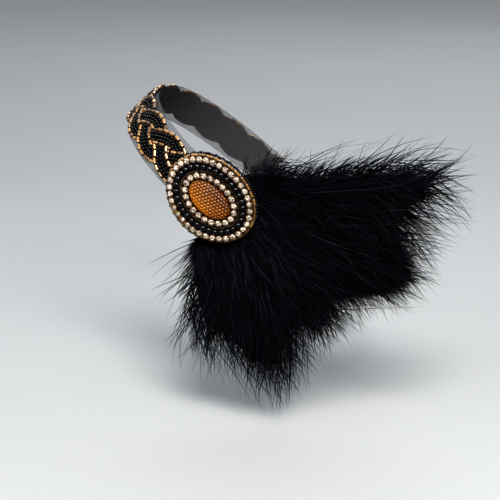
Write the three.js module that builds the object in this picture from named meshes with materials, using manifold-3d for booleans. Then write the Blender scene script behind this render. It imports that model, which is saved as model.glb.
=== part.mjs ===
// A flapper headband in the form it has when worn: a plaited bead band on a net ribbon, closed behind by an
// elastic, with an oval medallion on the wearer's left temple and a fan of marabou feathers behind it.
// Millimetres, +Z up. The wearer looks along -Y, the wearer's left is +X, the origin is the loop's centre.
import * as THREE from "three";
import { mergeVertices } from "three/addons/utils/BufferGeometryUtils.js";
import Module from "manifold-3d";

const wasm = await Module();
wasm.setup();

// Loop: a rounded oval at the inner face of the ribbon, worn with its front tipped up
const LOOP_HALF_LENGTH = 94;
const LOOP_HALF_WIDTH = 75;
const LOOP_SQUARENESS = 2.3;
const LOOP_FRONT_FULLNESS = 0.03;
const LOOP_TILT_DEG = 40;
const LOOP_DIVISIONS = 720;
// The band's lower edge leans outwards
const BAND_FLARE_DEG = 7;

// Gap between pieces that lie on each other
const GAP = 0.3;

// Net ribbon: lengths along the loop are measured from the middle of the brow, positive to the wearer's left
const RIBBON_RIGHT_END = -146;
const RIBBON_LEFT_END = 130;
const RIBBON_WIDTH = 29;
const RIBBON_THICKNESS = 1;

// Elastic: lies inside the ribbon's ends and closes the loop behind
const ELASTIC_WIDTH = 13;
const ELASTIC_THICKNESS = 1.2;
const ELASTIC_LAP = 14;

// Length of one facet along the band
const BAND_STEP = 7.5;

// Bead plait: three strands that swing from edge to edge and pass over each other
const PLAIT_RIGHT_END = -140;
const PLAIT_LEFT_END = 97;
const PLAIT_PERIOD = 64.5;
const PLAIT_SHIFT = 5.8;
const PLAIT_SWING = 7.6;
const PLAIT_STRANDS = 3;
const STRAND_WIDTH = 9.9;
const STRAND_TOP_SHARE = 0.66;
const STRAND_THICKNESS = 1.9;
const STRAND_LIFT = 0.5;
const STRAND_STEPS = 38;

// Medallion: its place along the loop, its lean, as the feathers under it push its upper edge out, and its rows
// from the felt up
const MEDALLION_ALONG = 116;
const MEDALLION_LEAN_DEG = 9;
const MEDALLION_LIFT = 2.3;
const BACKING_FLOOR = 4.3;
const BACKING_THICKNESS = 1.5;
const BACKING = { halfLength: 29.4, halfWidth: 24.4 };
const BACKING_TOP_SHARE = 0.965;
const BACKING_SIDES = 24;
const ROW_FLOOR = BACKING_FLOOR + BACKING_THICKNESS + GAP;
// Each row of beads or stones follows an oval of its own, and the two outermost lie down the felt's edge
const ROWS = {
  seedEdging: { halfLength: 30.5, halfWidth: 25.5, tube: 1.8, floor: ROW_FLOOR - 2.1, steps: 28 },
  bugleOuter: { halfLength: 29.4, halfWidth: 24.4, tube: 1.5, floor: ROW_FLOOR - 0.5, steps: 26 },
  stonesOuter: { halfLength: 26.2, halfWidth: 21.2, count: 36 },
  blackBeads: { halfLength: 22.1, halfWidth: 17.1, floor: ROW_FLOOR, count: 32 },
  bugleInner: { halfLength: 19.5, halfWidth: 14.6, tube: 0.9, floor: ROW_FLOOR, steps: 24 },
  stonesInner: { halfLength: 16.6, halfWidth: 11.8, count: 21 },
};
const TUBE_SIDES = 8;

// Rhinestone in its cup: an eight-sided cup that just meets the next one, then the stone's crown and table
const STONE_FACETS = 8;
const CUP_HEIGHT = 1.5;
const CUP_OVERLAP = 0.02;
const TABLE_SHARE = 0.55;
const STONE_HEIGHT = 2.4;

// Round black beads on a thread: each is a neck and a full ring
const BEAD_SIDES = 10;
const BEAD_RADIUS = 1.8;
const BEAD_NECK_RADIUS = 0.9;
const BEAD_RINGS = 2;

// Cabochon: an oval dome, by share of its half length and share of its height
const CABOCHON = { halfLength: 14.2, halfWidth: 9.3, height: 4.2, sides: 20 };
const CABOCHON_PROFILE = [
  { reach: 0, rise: 0 },
  { reach: 0.55, rise: 0 },
  { reach: 1, rise: 0 },
  { reach: 1, rise: 0.3 },
  { reach: 0.86, rise: 0.66 },
  { reach: 0.5, rise: 0.94 },
  { reach: 0, rise: 1 },
];

// Feathers: each fills a sector behind the medallion, between two angles measured from the band's own line,
// and its tip stands out from the medallion's plane
const FEATHERS = [
  { name: "feather_upper", low: 35, high: 59, reach: 154, tipOut: 14 },
  { name: "feather_back", low: 3, high: 34, reach: 140, tipOut: 16 },
  { name: "feather_middle", low: -14.5, high: 2.5, reach: 111, tipOut: 18 },
  { name: "feather_lower", low: -39.5, high: -15, reach: 132, tipOut: 16 },
  { name: "feather_front", low: -70, high: -40, reach: 102, tipOut: 12 },
  { name: "feather_tuft", low: 59.5, high: 84, reach: 59, tipOut: 8 },
];
// Locks of one feather: spread across its sector, reach along it and rise out of it, as shares
const LOCKS = [
  { spread: -1, reach: 0.86, rise: 0.5 },
  { spread: -0.5, reach: 0.95, rise: -0.7 },
  { spread: 0, reach: 1, rise: 0.8 },
  { spread: 0.5, reach: 0.96, rise: -0.5 },
  { spread: 1, reach: 0.88, rise: 0.6 },
];
// Sections of a lock: how far from its root to the medallion's rim and from there to its tip, then its width
// and depth there, as shares
const LOCK_SECTIONS = [
  { toRim: 0, toTip: 0, width: 1, depth: 0 },
  { toRim: 1, toTip: 0, width: 1, depth: 0 },
  { toRim: 1, toTip: 0.22, width: 1, depth: 0.8 },
  { toRim: 1, toTip: 0.62, width: 1, depth: 1 },
  { toRim: 1, toTip: 1, width: 0, depth: 0 },
];
const LOCK_SPREAD_SHARE = 0.6;
const LOCK_WIDTH_SHARE = 0.38;
const LOCK_DEPTH_SHARE = 0.085;
const LOCK_RISE_SHARE = 0.06;
const LOCK_SIDES = 4;
// Under the medallion the feathers are flat and bend with the band, and past its rim they swell and run straight
const FEATHER_ROOT_OUT = (RIBBON_THICKNESS + BACKING_FLOOR) / 2;
const FEATHER_ROOT_RADIUS = 12;
const FEATHER_ROOT_HALF_DEPTH = 0.9;
const FEATHER_RIM_RADIUS = 33;
const FEATHER_BEND_END = 31;
// A feather's underside stays near the plane it is sewn to, so most of its swelling goes outwards
const FEATHER_BULGE_SHARE = 0.8;

const GOLD = new THREE.MeshStandardMaterial({ color: 0xb98a3f, roughness: 0.3, metalness: 0.9 });
const CRYSTAL = new THREE.MeshStandardMaterial({ color: 0xe6e2d8, roughness: 0.08, metalness: 0.2 });
const BLACK_GLASS = new THREE.MeshStandardMaterial({ color: 0x0b0b0d, roughness: 0.12, metalness: 0 });
const AMBER = new THREE.MeshStandardMaterial({ color: 0xc8792a, roughness: 0.2, metalness: 0.1 });
const NET = new THREE.MeshStandardMaterial({ color: 0x55565c, roughness: 0.8, metalness: 0 });
const ELASTIC = new THREE.MeshStandardMaterial({ color: 0x121214, roughness: 0.85, metalness: 0 });
const FELT = new THREE.MeshStandardMaterial({ color: 0x101012, roughness: 0.95, metalness: 0 });
const DOWN = new THREE.MeshStandardMaterial({ color: 0x07080b, roughness: 0.7, metalness: 0 });

const UP = new THREE.Vector3(0, 0, 1);
const radians = THREE.MathUtils.degToRad;

// The loop's outline in its own plane, from the brow round to the wearer's left
class LoopOutline extends THREE.Curve {
  getPoint(share, target = new THREE.Vector3()) {
    const angle = 2 * Math.PI * share;
    const side = Math.sin(angle);
    const front = Math.cos(angle);
    const power = Math.abs(side) ** LOOP_SQUARENESS + Math.abs(front) ** LOOP_SQUARENESS;
    const radius = power ** (-1 / LOOP_SQUARENESS);
    const halfWidth = LOOP_HALF_WIDTH * (1 + LOOP_FRONT_FULLNESS * front);
    return target.set(halfWidth * radius * side, -LOOP_HALF_LENGTH * radius * front, 0);
  }
}

const outline = new LoopOutline();
outline.arcLengthDivisions = LOOP_DIVISIONS;
const loopLength = outline.getLength();

// Where the band is at a length along the loop: a point, and the directions along, across and out of it
function bandPlace(along) {
  const share = THREE.MathUtils.euclideanModulo(along / loopLength, 1);
  const tangent = outline.getTangentAt(share);
  const flare = radians(BAND_FLARE_DEG);
  const out = new THREE.Vector3(tangent.y, -tangent.x, 0).multiplyScalar(Math.cos(flare));
  out.addScaledVector(UP, Math.sin(flare));
  const across = new THREE.Vector3().crossVectors(out, tangent);
  return { point: outline.getPointAt(share), tangent, across, out };
}

// Changes each vertex of a geometry with a function of its place
function reshape(geometry, change) {
  const position = geometry.getAttribute("position");
  const vertex = new THREE.Vector3();
  for (let i = 0; i < position.count; i++) {
    vertex.fromBufferAttribute(position, i);
    const moved = change(vertex);
    position.setXYZ(i, moved.x, moved.y, moved.z);
  }
  return geometry;
}

// Lays a flat geometry on the band: X runs along the loop, Y across the band and Z out of it
function layOnBand(geometry) {
  return reshape(geometry, (flat) => {
    const place = bandPlace(flat.x);
    return place.point.addScaledVector(place.across, flat.y).addScaledVector(place.out, flat.z);
  });
}

// A geometry with its shared vertices merged and its collapsed faces dropped
function closed(geometry) {
  geometry.deleteAttribute("normal");
  geometry.deleteAttribute("uv");
  const merged = mergeVertices(geometry);
  const corners = merged.index.array;
  const kept = [];
  for (let i = 0; i < corners.length; i += 3) {
    const face = [corners[i], corners[i + 1], corners[i + 2]];
    if (new Set(face).size === 3) kept.push(...face);
  }
  return merged.setIndex(kept);
}

// Several closed geometries joined into one body, without the small pockets that may be left between them
function fuse(geometries) {
  const solids = geometries.map((geometry) => {
    const { attributes, index } = closed(geometry);
    const triVerts = new Uint32Array(index.array);
    const mesh = new wasm.Mesh({ numProp: 3, vertProperties: attributes.position.array, triVerts });
    return new wasm.Manifold(mesh);
  });
  const bodies = solids.reduce((whole, solid) => whole.add(solid)).decompose();
  const outer = bodies.reduce((largest, body) => (body.volume() > largest.volume() ? body : largest));
  const joined = outer.getMesh();
  return new THREE.BufferGeometry()
    .setAttribute("position", new THREE.BufferAttribute(joined.vertProperties, 3))
    .setIndex(new THREE.BufferAttribute(joined.triVerts, 1));
}

function named(name, geometry, material) {
  const mesh = new THREE.Mesh(closed(geometry), material);
  mesh.name = name;
  return mesh;
}

// A flat strip along the band
function strip(start, end, width, floor, thickness) {
  const length = end - start;
  const steps = Math.round(length / BAND_STEP);
  const box = new THREE.BoxGeometry(length, width, thickness, steps, 1, 1);
  return box.translate((start + end) / 2, 0, floor + thickness / 2);
}

// One strand of the plait: a flat bar that swings across the band and rises where it passes over another
function plaitStrand(turn) {
  const length = PLAIT_LEFT_END - PLAIT_RIGHT_END;
  const bar = new THREE.BoxGeometry(length, STRAND_WIDTH, STRAND_THICKNESS, STRAND_STEPS, 1, 1);
  bar.translate((PLAIT_LEFT_END + PLAIT_RIGHT_END) / 2, 0, 0);
  const middle = RIBBON_THICKNESS + GAP + STRAND_LIFT + STRAND_THICKNESS / 2;
  return reshape(bar, (vertex) => {
    const phase = 2 * Math.PI * ((vertex.x + PLAIT_SHIFT) / PLAIT_PERIOD + turn);
    const slope = ((2 * Math.PI * PLAIT_SWING) / PLAIT_PERIOD) * Math.cos(phase);
    const normal = new THREE.Vector2(-slope, 1).normalize();
    const reach = vertex.y * (vertex.z > 0 ? STRAND_TOP_SHARE : 1);
    const rise = middle + vertex.z + STRAND_LIFT * Math.sin(2 * phase);
    const x = vertex.x + normal.x * reach;
    const y = PLAIT_SWING * Math.sin(phase) + normal.y * reach;
    return new THREE.Vector3(x, y, rise);
  });
}

// A row's oval as a curve
function ovalOf({ halfLength, halfWidth }) {
  return new THREE.EllipseCurve(0, 0, halfLength, halfWidth, 0, 2 * Math.PI);
}

// How far the medallion's lean moves a place out, by how far up the place is
function lean(across) {
  return MEDALLION_LIFT + across * Math.tan(radians(MEDALLION_LEAN_DEG));
}

// Leans a flat geometry, moves it to the medallion's centre and lays it on the band
function layOnMedallion(geometry) {
  const leaning = reshape(geometry, (flat) => flat.setZ(flat.z + lean(flat.y)));
  return layOnBand(leaning.translate(MEDALLION_ALONG, 0, 0));
}

// A closed tube round a row's oval, lying on the row's floor, with a radius for each share of the way round
function rowTube(row, sides, steps, fullRadius, radiusAt) {
  const oval = ovalOf(row);
  const ring = new THREE.TorusGeometry(row.halfLength, 1, sides, steps);
  return reshape(ring, (vertex) => {
    const share = THREE.MathUtils.euclideanModulo(Math.atan2(vertex.y, vertex.x) / (2 * Math.PI), 1);
    const radius = radiusAt(share);
    const reach = (Math.hypot(vertex.x, vertex.y) - row.halfLength) * radius;
    const point = oval.getPointAt(share);
    const tangent = oval.getTangentAt(share);
    const x = point.x + tangent.y * reach;
    const y = point.y - tangent.x * reach;
    return new THREE.Vector3(x, y, row.floor + fullRadius + vertex.z * radius);
  });
}

// Copies of a piece spaced evenly along a row, each turned with its X axis along the row
function alongRow(row, makePiece) {
  const oval = ovalOf(row);
  return Array.from({ length: row.count }, (_, i) => {
    const share = i / row.count;
    const point = oval.getPointAt(share);
    const tangent = oval.getTangentAt(share);
    const turn = Math.atan2(tangent.y, tangent.x);
    return makePiece().rotateZ(turn).translate(point.x, point.y, 0);
  });
}

// A body of revolution about Z, from a profile of radius and height
function turned(profile, sides) {
  const points = profile.map(({ radius, height }) => new THREE.Vector2(radius, height));
  return new THREE.LatheGeometry(points, sides).rotateX(Math.PI / 2);
}

// A chain of stones in cups, each cup with a flat side towards the next
function stoneRow(row) {
  const pitch = ovalOf(row).getLength() / row.count;
  const halfFacet = Math.PI / STONE_FACETS;
  const cupRadius = (pitch / 2 + CUP_OVERLAP) / Math.cos(halfFacet);
  const profile = [
    { radius: 0, height: ROW_FLOOR },
    { radius: cupRadius, height: ROW_FLOOR },
    { radius: cupRadius, height: ROW_FLOOR + CUP_HEIGHT },
    { radius: cupRadius * TABLE_SHARE, height: ROW_FLOOR + STONE_HEIGHT },
    { radius: 0, height: ROW_FLOOR + STONE_HEIGHT },
  ];
  return fuse(alongRow(row, () => turned(profile, STONE_FACETS).rotateZ(halfFacet)));
}

// Black beads threaded side by side
function beadRow(row) {
  const steps = row.count * BEAD_RINGS;
  const isNeck = (share) => Math.round(share * steps) % BEAD_RINGS === 0;
  const radiusAt = (share) => (isNeck(share) ? BEAD_NECK_RADIUS : BEAD_RADIUS);
  return rowTube(row, BEAD_SIDES, steps, BEAD_RADIUS, radiusAt);
}

// An oval body: a profile turned on the longer half size, then narrowed
function ovalBody(profile, sides, { halfLength, halfWidth }) {
  return turned(profile, sides).scale(1, halfWidth / halfLength, 1);
}

function backing() {
  const top = BACKING_FLOOR + BACKING_THICKNESS;
  const inner = BACKING.halfLength / 3;
  const outer = inner * 2;
  const topEdge = BACKING.halfLength * BACKING_TOP_SHARE;
  const profile = [
    { radius: 0, height: BACKING_FLOOR },
    { radius: inner, height: BACKING_FLOOR },
    { radius: outer, height: BACKING_FLOOR },
    { radius: BACKING.halfLength, height: BACKING_FLOOR },
    { radius: topEdge, height: top },
    { radius: outer, height: top },
    { radius: inner, height: top },
    { radius: 0, height: top },
  ];
  return ovalBody(profile, BACKING_SIDES, BACKING);
}

function cabochon() {
  const profile = CABOCHON_PROFILE.map(({ reach, rise }) => ({
    radius: CABOCHON.halfLength * reach,
    height: ROW_FLOOR + CABOCHON.height * rise,
  }));
  return ovalBody(profile, CABOCHON.sides, CABOCHON);
}

// Lays the flat fan on the band: it bends with the loop up to the medallion's rim and runs straight from there
function layFan(geometry) {
  return reshape(geometry, (flat) => {
    const bent = THREE.MathUtils.clamp(flat.x, -FEATHER_BEND_END, FEATHER_BEND_END);
    const place = bandPlace(MEDALLION_ALONG + bent);
    place.point.addScaledVector(place.tangent, flat.x - bent);
    return place.point.addScaledVector(place.across, flat.y).addScaledVector(place.out, flat.z);
  });
}

// One lock of a feather, in the flat fan: a spindle, flat under the medallion, fullest past its middle, pointed
function featherLock(feather, lock) {
  const middle = radians((feather.low + feather.high) / 2);
  const half = radians((feather.high - feather.low) / 2);
  const angle = middle + lock.spread * half * LOCK_SPREAD_SHARE;
  const along = new THREE.Vector3(Math.cos(angle), Math.sin(angle), 0);
  const side = new THREE.Vector3().crossVectors(along, UP);
  const toRim = FEATHER_RIM_RADIUS - FEATHER_ROOT_RADIUS;
  const toTip = feather.reach * lock.reach - FEATHER_RIM_RADIUS;
  const tipRise = feather.tipOut + feather.reach * lock.rise * LOCK_RISE_SHARE;
  const rings = LOCK_SECTIONS.length - 1;
  const spindle = new THREE.CylinderGeometry(1, 1, rings, LOCK_SIDES, rings);
  return reshape(spindle, (vertex) => {
    const section = LOCK_SECTIONS[Math.round(vertex.y + rings / 2)];
    const radius = FEATHER_ROOT_RADIUS + toRim * section.toRim + toTip * section.toTip;
    const wide = radius * Math.tan(half) * LOCK_WIDTH_SHARE * section.width;
    const swell = feather.reach * LOCK_DEPTH_SHARE * section.depth;
    const deep = section.toTip < 1 ? FEATHER_ROOT_HALF_DEPTH + swell : 0;
    const out = FEATHER_ROOT_OUT + swell * FEATHER_BULGE_SHARE + tipRise * section.toTip ** 2;
    const place = along.clone().multiplyScalar(radius).addScaledVector(side, vertex.x * wide);
    const underMedallion = section.toTip === 0 ? lean(place.y) : 0;
    return place.addScaledVector(UP, out + underMedallion + vertex.z * deep);
  });
}

function featherGeometry(feather) {
  return fuse(LOCKS.map((lock) => featherLock(feather, lock)));
}

// The band and the medallion's rows lie along the loop, and the whole loop is tilted as it is worn
const worn = new THREE.Group();
worn.rotation.x = -radians(LOOP_TILT_DEG);

const ribbon = strip(RIBBON_RIGHT_END, RIBBON_LEFT_END, RIBBON_WIDTH, 0, RIBBON_THICKNESS);
worn.add(named("net_ribbon", layOnBand(ribbon), NET));

const elasticStart = RIBBON_LEFT_END - ELASTIC_LAP;
const elasticEnd = loopLength + RIBBON_RIGHT_END + ELASTIC_LAP;
const elasticFloor = -GAP - ELASTIC_THICKNESS;
const elastic = strip(elasticStart, elasticEnd, ELASTIC_WIDTH, elasticFloor, ELASTIC_THICKNESS);
worn.add(named("elastic_back", layOnBand(elastic), ELASTIC));

const strands = Array.from({ length: PLAIT_STRANDS }, (_, i) => plaitStrand(i / PLAIT_STRANDS));
worn.add(named("bead_plait", layOnBand(fuse(strands)), BLACK_GLASS));

worn.add(named("medallion_backing", layOnMedallion(backing()), FELT));
worn.add(named("cabochon", layOnMedallion(cabochon()), AMBER));

const beadTubes = [
  { name: "seed_edging", row: ROWS.seedEdging, material: BLACK_GLASS },
  { name: "bugle_ring_outer", row: ROWS.bugleOuter, material: GOLD },
  { name: "bugle_ring_inner", row: ROWS.bugleInner, material: GOLD },
];
for (const { name, row, material } of beadTubes) {
  const tube = rowTube(row, TUBE_SIDES, row.steps, row.tube / 2, () => row.tube / 2);
  worn.add(named(name, layOnMedallion(tube), material));
}

worn.add(named("rhinestone_ring_outer", layOnMedallion(stoneRow(ROWS.stonesOuter)), CRYSTAL));
worn.add(named("rhinestone_ring_inner", layOnMedallion(stoneRow(ROWS.stonesInner)), CRYSTAL));
worn.add(named("black_bead_ring", layOnMedallion(beadRow(ROWS.blackBeads)), BLACK_GLASS));

for (const feather of FEATHERS) worn.add(named(feather.name, layFan(featherGeometry(feather)), DOWN));

const headband = new THREE.Group();
headband.add(worn);

export default headband;
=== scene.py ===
"""Looks of the flapper headband: a bead plait on net ribbon, a medallion and marabou feathers."""

import math

import bmesh
import bpy
import numpy as np
from mathutils import Matrix, Quaternion, Vector


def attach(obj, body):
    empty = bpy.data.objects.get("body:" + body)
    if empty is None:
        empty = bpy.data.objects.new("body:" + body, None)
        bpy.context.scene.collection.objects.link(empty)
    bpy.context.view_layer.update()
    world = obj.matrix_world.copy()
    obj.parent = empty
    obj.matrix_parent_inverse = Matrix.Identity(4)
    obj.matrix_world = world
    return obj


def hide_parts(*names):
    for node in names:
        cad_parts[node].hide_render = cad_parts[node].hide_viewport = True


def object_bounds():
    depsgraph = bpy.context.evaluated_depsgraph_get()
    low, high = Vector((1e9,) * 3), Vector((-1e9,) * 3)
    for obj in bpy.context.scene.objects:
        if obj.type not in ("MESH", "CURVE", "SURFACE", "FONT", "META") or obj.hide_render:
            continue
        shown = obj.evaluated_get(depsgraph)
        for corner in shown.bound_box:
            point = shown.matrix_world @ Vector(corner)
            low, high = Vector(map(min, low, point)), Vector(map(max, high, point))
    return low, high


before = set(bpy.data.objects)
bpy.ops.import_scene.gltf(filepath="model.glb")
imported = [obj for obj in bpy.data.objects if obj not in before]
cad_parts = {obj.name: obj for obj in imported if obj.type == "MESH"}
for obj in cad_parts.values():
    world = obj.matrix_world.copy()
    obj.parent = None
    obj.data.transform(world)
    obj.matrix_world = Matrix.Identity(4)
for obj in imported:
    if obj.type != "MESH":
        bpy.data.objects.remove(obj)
cad_low, cad_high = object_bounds()

# Sizes in the tables below are in millimetres, angles in degrees
MM = 0.001

# Loop that the ribbon follows, worn with its front tipped up
LOOP_HALF_LENGTH = 94
LOOP_HALF_WIDTH = 75
LOOP_SQUARENESS = 2.3
LOOP_FRONT_FULLNESS = 0.03
LOOP_TILT_DEG = 40
LOOP_DIVISIONS = 7200
BAND_FLARE_DEG = 7

RIBBON_ENDS = (-146, 130)
RIBBON_WIDTH = 29
RIBBON_MIDDLE = 0.5
ELASTIC_WIDTH = 13
ELASTIC_MIDDLE = -0.9
ELASTIC_LAP = 14

PLAIT_ENDS = (-140, 97)
PLAIT_PERIOD = 64.5
PLAIT_SHIFT = 5.8
PLAIT_SWING = 7.6
PLAIT_MIDDLE = 2.75
STRAND_COUNT = 3
STRAND_HALF_WIDTH = 4.95
STRAND_LIFT = 0.5

MEDALLION_ALONG = 116
MEDALLION_LEAN_DEG = 9
MEDALLION_LIFT = 2.3
BACKING_MIDDLE = 5.05
BACKING_THICKNESS = 1.5
BACKING_HALVES = (28.2, 23.2)
ROW_FLOOR = 6.1
EDGING_OVAL = (29.6, 24.6)
EDGING_MIDDLE = 3.9
EDGING_RISE = 1.1
OUTER_BUGLE_OVAL = (28.6, 23.6)
OUTER_BUGLE_MIDDLE = 5.3
OUTER_ROWS_RISE = 0.6
OUTER_STONE_OVAL = (26.2, 21.2)
BLACK_BEAD_OVAL = (22.1, 17.1)
INNER_BUGLE_OVAL = (19.5, 14.6)
INNER_BUGLE_MIDDLE = 6.45
INNER_STONE_OVAL = (16.6, 11.8)
CABOCHON_HALVES = (14.2, 9.3)
CABOCHON_HEIGHT = 4.2


def loop_point(angle):
    """Points of the loop's outline in its own plane, from the front middle round to the left side."""
    side = np.sin(angle)
    front = np.cos(angle)
    power = np.abs(side) ** LOOP_SQUARENESS + np.abs(front) ** LOOP_SQUARENESS
    radius = power ** (-1 / LOOP_SQUARENESS)
    half_width = LOOP_HALF_WIDTH * (1 + LOOP_FRONT_FULLNESS * front)
    return np.stack([half_width * radius * side, -LOOP_HALF_LENGTH * radius * front, 0 * side], -1)


def lengths_along(line):
    """Distance along a line from its first point to each of its points."""
    steps = np.linalg.norm(np.diff(line, axis=0), axis=1)
    return np.concatenate([[0], np.cumsum(steps)])


loop_angles = np.linspace(0, 2 * np.pi, LOOP_DIVISIONS + 1)
loop_lengths = lengths_along(loop_point(loop_angles))
LOOP_LENGTH = loop_lengths[-1]


def unit(vectors):
    return vectors / np.linalg.norm(vectors, axis=-1, keepdims=True)


def band_place(along):
    """Point, and the directions along, across and out of the band, at lengths from the front middle."""
    angle = np.interp(np.mod(along, LOOP_LENGTH), loop_lengths, loop_angles)
    nudge = 1e-4
    tangent = unit(loop_point(angle + nudge) - loop_point(angle - nudge))
    flare = math.radians(BAND_FLARE_DEG)
    out_x = tangent[..., 1] * math.cos(flare)
    out_y = -tangent[..., 0] * math.cos(flare)
    out = np.stack([out_x, out_y, np.full_like(out_x, math.sin(flare))], -1)
    return loop_point(angle), tangent, np.cross(out, tangent), out


def tilted(points):
    """Points of the level loop, in millimetres, as worn, in metres."""
    turn = math.radians(LOOP_TILT_DEG)
    y = points[..., 1] * math.cos(turn) + points[..., 2] * math.sin(turn)
    z = points[..., 2] * math.cos(turn) - points[..., 1] * math.sin(turn)
    return np.stack([points[..., 0], y, z], -1) * MM


def on_band(flat):
    """Lays flat points on the band: X runs along the loop, Y across the band and Z out of it."""
    point, tangent, across, out = band_place(flat[..., 0])
    return tilted(point + across * flat[..., 1:2] + out * flat[..., 2:3])


def lean(across):
    """How far the medallion stands off the band, which grows towards its upper edge."""
    return MEDALLION_LIFT + across * math.tan(math.radians(MEDALLION_LEAN_DEG))


def on_medallion(flat):
    raised = flat[..., 2] + lean(flat[..., 1])
    return on_band(np.stack([flat[..., 0] + MEDALLION_ALONG, flat[..., 1], raised], -1))


# Meshes

def shape_arrays(shape):
    """Points, face corners and face sizes of a bmesh, which is freed."""
    shape.verts.index_update()
    points = np.array([vertex.co for vertex in shape.verts], float)
    corners = np.array([vertex.index for face in shape.faces for vertex in face.verts], int)
    sizes = np.array([len(face.verts) for face in shape.faces], int)
    shape.free()
    return points, corners, sizes


def closed_arrays(shape):
    """The same of a closed bmesh, with its faces turned outwards."""
    bmesh.ops.recalc_face_normals(shape, faces=shape.faces)
    return shape_arrays(shape)


def copies(shape, centres, turns, scales=None, pitches=None):
    """Copies of a shape at flat places, each turned about Z after a pitch about its own Y axis."""
    points, corners, sizes = shape
    count = len(centres)
    scales = np.ones((count, 3)) if scales is None else scales
    pitches = np.zeros(count) if pitches is None else pitches
    local = points[None] * scales[:, None]
    lean_cos, lean_sin = np.cos(pitches)[:, None], np.sin(pitches)[:, None]
    x = local[..., 0] * lean_cos + local[..., 2] * lean_sin
    z = local[..., 2] * lean_cos - local[..., 0] * lean_sin
    turn_cos, turn_sin = np.cos(turns)[:, None], np.sin(turns)[:, None]
    y = x * turn_sin + local[..., 1] * turn_cos
    x = x * turn_cos - local[..., 1] * turn_sin
    placed = np.stack([x, y, z], -1) + centres[:, None]
    shifted = corners[None] + np.arange(count)[:, None] * len(points)
    return placed.reshape(-1, 3), shifted.ravel(), np.tile(sizes, count)


def flat_grid(cells_along, cells_across):
    """Points from -1 to 1 both ways, with their faces."""
    shape = bmesh.new()
    bmesh.ops.create_grid(shape, x_segments=cells_along, y_segments=cells_across, size=1)
    return shape_arrays(shape)


def joined(*parts):
    """Several sets of points, corners and sizes as one."""
    starts = np.cumsum([0] + [len(points) for points, _, _ in parts])
    points = np.concatenate([part[0] for part in parts])
    corners = np.concatenate([part[1] + start for part, start in zip(parts, starts)])
    return points, corners, np.concatenate([part[2] for part in parts])


def added(name, data):
    """A new object of the scene."""
    made = bpy.data.objects.new(name, data)
    bpy.context.scene.collection.objects.link(made)
    return made


def piece(
    name, arrays, material, slot, *nodes, smooth=None, tones=None, tone_domain="POINT", flat_uv=None
):
    """A finished piece: a mesh object that rides with the band and stands for the named solids."""
    points, corners, sizes = arrays
    mesh = bpy.data.meshes.new(name)
    mesh.vertices.add(len(points))
    mesh.vertices.foreach_set("co", points.astype(np.float32).ravel())
    mesh.loops.add(len(corners))
    mesh.loops.foreach_set("vertex_index", corners.astype(np.int32))
    mesh.polygons.add(len(sizes))
    starts = np.concatenate([[0], np.cumsum(sizes)[:-1]])
    mesh.polygons.foreach_set("loop_start", starts.astype(np.int32))
    mesh.update(calc_edges=True)
    mesh.validate()
    if smooth is None:
        mesh.shade_flat()
    else:
        mesh.shade_smooth()
        mesh.set_sharp_from_angle(angle=math.radians(smooth))
    if tones is not None:
        attribute = mesh.attributes.new("tone", "FLOAT", tone_domain)
        attribute.data.foreach_set("value", tones.astype(np.float32))
    if flat_uv is not None:
        layer = mesh.uv_layers.new(name="cloth")
        layer.data.foreach_set("uv", flat_uv[corners].astype(np.float32).ravel())
    mesh.materials.append(material)
    made = added(name, mesh)
    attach(made, "root")
    if nodes:
        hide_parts(*nodes)
    return made


# Shader node groups and materials

def node_group(name, inputs, outputs):
    """A new node group, from its sockets' names and kinds, with what comes in and the node that goes out."""
    group = bpy.data.node_groups.new(name, "ShaderNodeTree")
    for way, sockets in (("INPUT", inputs), ("OUTPUT", outputs)):
        for socket_name, kind in sockets.items():
            group.interface.new_socket(socket_name, in_out=way, socket_type=kind)
    return group, group.nodes.new("NodeGroupInput").outputs, group.nodes.new("NodeGroupOutput")


def feed(tree, socket, value):
    """Links an input to a socket, or sets it to a plain value."""
    if isinstance(value, bpy.types.NodeSocket):
        tree.links.new(value, socket)
    else:
        socket.default_value = value


def set_inputs(tree, node, **values):
    for name, value in values.items():
        feed(tree, node.inputs[name.replace("_", " ")], value)


def maths(tree, operation, *values):
    node = tree.nodes.new("ShaderNodeMath")
    node.operation = operation
    for socket, value in zip(node.inputs, values):
        feed(tree, socket, value)
    return node.outputs[0]


def colour_mix(tree, share, first, second):
    """A Mix node set to colours, which has its colour sockets after those for numbers and vectors."""
    node = tree.nodes.new("ShaderNodeMix")
    node.data_type = "RGBA"
    for number, value in ((0, share), (6, first), (7, second)):
        feed(tree, node.inputs[number], value)
    return node.outputs[2]


def noise(tree, scale, detail=2.0):
    place = tree.nodes.new("ShaderNodeTexCoord")
    node = tree.nodes.new("ShaderNodeTexNoise")
    set_inputs(tree, node, Vector=place.outputs["Object"], Scale=scale, Detail=detail)
    return node.outputs["Fac"]


COLOUR = "NodeSocketColor"
NUMBER = "NodeSocketFloat"


def make_piece_tone():
    """Colour of each bead or barb between a dark and a light one, by its tone, with some mottling in it."""
    inputs = {"Dark": COLOUR, "Light": COLOUR, "Mottle": NUMBER, "Mottle Scale": NUMBER}
    group, entry, leave = node_group("piece tone", inputs, {"Color": COLOUR})
    tone = group.nodes.new("ShaderNodeAttribute")
    tone.attribute_name = "tone"
    centred = maths(group, "SUBTRACT", noise(group, entry["Mottle Scale"]), 0.5)
    shift = maths(group, "MULTIPLY", centred, entry["Mottle"])
    share = maths(group, "ADD", tone.outputs["Fac"], shift)
    clamped = maths(group, "MINIMUM", maths(group, "MAXIMUM", share, 0.0), 1.0)
    set_inputs(group, leave, Color=colour_mix(group, clamped, entry["Dark"], entry["Light"]))
    return group


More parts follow.
